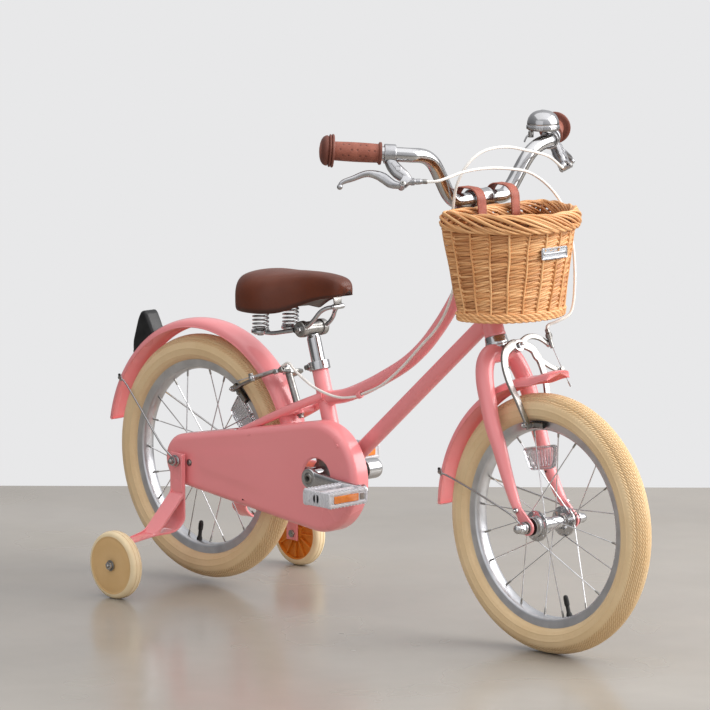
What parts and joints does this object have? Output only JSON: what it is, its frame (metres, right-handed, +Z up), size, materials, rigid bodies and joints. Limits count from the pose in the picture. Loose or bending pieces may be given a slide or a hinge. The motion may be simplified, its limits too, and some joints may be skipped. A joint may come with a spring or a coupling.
{
  "type": "kids bicycle with training wheels",
  "caption": "Small pink step-through children's bicycle with mudguards, chain guard, sprung saddle, side training wheels, bell and a strapped wicker handlebar basket.",
  "frame": {"origin": "on the ground under the centre of the bounding box", "axes": "+X forwards, +Y to the rider's left, +Z up"},
  "size_m": [1.1924, 0.5298, 0.8095],
  "materials": {
    "paint": "gloss",
    "chrome": "polished",
    "alloy": "satin",
    "steel": "satin",
    "tyre": "matte",
    "trainer": "matte",
    "saddle": "satin",
    "grip": "satin",
    "strap": "satin",
    "wicker": "satin",
    "pad": "matte",
    "reflector_housing": "satin",
    "pedal_plastic": "satin",
    "cable": "gloss"
  },
  "bodies": {
    "frame": {"head_tube": "paint", "headset_lower_cup": "chrome", "top_tube": "paint", "down_tube": "paint", "seat_tube": "paint", "rear_triangle": "paint", "chain_guard": "paint", "chain": "steel", "rear_mudguard": "paint", "rear_axle": "steel", "training_wheel_bracket_right": "paint", "training_wheel_bracket_left": "paint", "rear_reflector": "reflector_housing", "seat_collar": "chrome", "rear_caliper_bolt": "steel", "rear_brake_cable": "cable"},
    "steering": {"fork": "paint", "stem": "chrome", "handlebar": "alloy", "grip_right": "grip", "grip_left": "grip", "lever_bracket_right": "alloy", "lever_bracket_left": "alloy", "bell": "chrome", "basket": "wicker", "basket_strap_right": "strap", "basket_strap_left": "strap", "front_mudguard": "paint", "front_axle": "chrome", "front_caliper_bolt": "steel", "front_brake_cable": "cable", "rear_brake_cable_upper": "cable"},
    "front_wheel": {"front_tyre": "tyre", "front_wheel_laced": "alloy"},
    "rear_wheel": {"rear_tyre": "tyre", "rear_wheel_laced": "alloy"},
    "freewheel": {"rear_sprocket": "steel"},
    "crankset": {"bottom_bracket_spindle": "steel", "crank_right": "chrome", "crank_left": "chrome"},
    "pedal_r": {"pedal_right": "pedal_plastic"},
    "pedal_l": {"pedal_left": "pedal_plastic"},
    "trainer_r": {"training_wheel_right": "trainer"},
    "trainer_l": {"training_wheel_left": "trainer"},
    "lever_r": {"brake_lever_right": "alloy"},
    "lever_l": {"brake_lever_left": "alloy"},
    "front_arm_r": {"front_caliper_arm_right": "alloy", "front_brake_pad_right": "pad"},
    "front_arm_l": {"front_caliper_arm_left": "alloy", "front_brake_pad_left": "pad"},
    "rear_arm_r": {"rear_caliper_arm_right": "alloy", "rear_brake_pad_right": "pad"},
    "rear_arm_l": {"rear_caliper_arm_left": "alloy", "rear_brake_pad_left": "pad"},
    "thumb_lever": {"bell_trigger": "chrome"},
    "seat": {"seat_post": "chrome", "saddle_rails": "chrome", "saddle_spring_right": "chrome", "saddle_spring_left": "chrome"},
    "saddle_cover": {"saddle": "saddle"}
  },
  "joints": [
    {"name": "steer", "type": "hinge", "parent": "frame", "child": "steering", "pos_m": [0.28085, 0, 0.465], "axis": [-0.3256, 0, 0.9455], "range_deg": [-50, 50]},
    {"name": "front_wheel_spin", "type": "hinge", "parent": "steering", "child": "front_wheel", "pos_m": [0.39625, 0, 0.2], "axis": [0, 1, 0], "continuous": true},
    {"name": "rear_wheel_spin", "type": "hinge", "parent": "frame", "child": "rear_wheel", "pos_m": [-0.37235, 0, 0.208], "axis": [0, 1, 0], "continuous": true},
    {"name": "crank_spin", "type": "hinge", "parent": "frame", "child": "crankset", "pos_m": [-0.05835, 0, 0.2195], "axis": [0, 1, 0], "continuous": true},
    {"name": "freewheel_spin", "type": "hinge", "parent": "frame", "child": "freewheel", "pos_m": [-0.37235, 0, 0.208], "axis": [0, 1, 0], "continuous": true},
    {"name": "pedal_right_spin", "type": "hinge", "parent": "crankset", "child": "pedal_r", "pos_m": [0.05559, 0, 0.2135], "axis": [0, 1, 0], "continuous": true},
    {"name": "pedal_left_spin", "type": "hinge", "parent": "crankset", "child": "pedal_l", "pos_m": [-0.17229, 0, 0.2255], "axis": [0, 1, 0], "continuous": true},
    {"name": "training_wheel_right_spin", "type": "hinge", "parent": "frame", "child": "trainer_r", "pos_m": [-0.37035, -0.2033, 0.0546], "axis": [0, 1, 0], "continuous": true},
    {"name": "training_wheel_left_spin", "type": "hinge", "parent": "frame", "child": "trainer_l", "pos_m": [-0.37035, 0.2033, 0.0546], "axis": [0, 1, 0], "continuous": true},
    {"name": "brake_lever_right_pull", "type": "hinge", "parent": "steering", "child": "lever_r", "pos_m": [0.25317, -0.17913, 0.71942], "axis": [-0.6887, 0.5356, -0.4888], "range_deg": [0, 10], "stiffness_Nm_per_rad": 0.8, "springref_deg": -8.59},
    {"name": "brake_lever_left_pull", "type": "hinge", "parent": "steering", "child": "lever_l", "pos_m": [0.25317, 0.17913, 0.71942], "axis": [0.6887, 0.5356, 0.4888], "range_deg": [0, 10], "stiffness_Nm_per_rad": 0.8, "springref_deg": -8.59},
    {"name": "front_arm_right_pivot", "type": "hinge", "parent": "steering", "child": "front_arm_r", "pos_m": [0.32406, 0, 0.46506], "axis": [0.918, 0, 0.3967], "range_deg": [0, 1]},
    {"name": "front_arm_left_pivot", "type": "hinge", "parent": "steering", "child": "front_arm_l", "pos_m": [0.32406, 0, 0.46506], "axis": [0.918, 0, 0.3967], "range_deg": [-1, 0]},
    {"name": "rear_arm_right_pivot", "type": "hinge", "parent": "frame", "child": "rear_arm_r", "pos_m": [-0.18314, 0, 0.36938], "axis": [-0.3891, 0, 0.9212], "range_deg": [-1.2, 0]},
    {"name": "rear_arm_left_pivot", "type": "hinge", "parent": "frame", "child": "rear_arm_l", "pos_m": [-0.18314, 0, 0.36938], "axis": [-0.3891, 0, 0.9212], "range_deg": [0, 1.2]},
    {"name": "bell_thumb_lever", "type": "hinge", "parent": "steering", "child": "thumb_lever", "pos_m": [0.22665, 0.1279, 0.7705], "axis": [0, 0, 1], "range_deg": [0, 20], "stiffness_Nm_per_rad": 0.02, "springref_deg": -11.46},
    {"name": "seat_height", "type": "slide", "parent": "frame", "child": "seat", "axis": [-0.2838, 0, 0.9589], "range_m": [-0.03, 0.08]},
    {"name": "saddle_flex", "type": "hinge", "parent": "seat", "child": "saddle_cover", "pos_m": [-0.06935, 0, 0.485], "axis": [0, 1, 0], "range_deg": [-3, 0], "stiffness_Nm_per_rad": 120, "springref_deg": 1.15, "deforming": ["saddle_spring_right", "saddle_spring_left"]}
  ],
  "couplings": [
    {"joint": "freewheel_spin", "follows": "crank_spin", "ratio": 1.75},
    {"joint": "front_arm_right_pivot", "follows": "brake_lever_right_pull", "ratio": 0.081},
    {"joint": "front_arm_left_pivot", "follows": "brake_lever_right_pull", "ratio": -0.081},
    {"joint": "rear_arm_right_pivot", "follows": "brake_lever_left_pull", "ratio": -0.099},
    {"joint": "rear_arm_left_pivot", "follows": "brake_lever_left_pull", "ratio": 0.099}
  ]
}
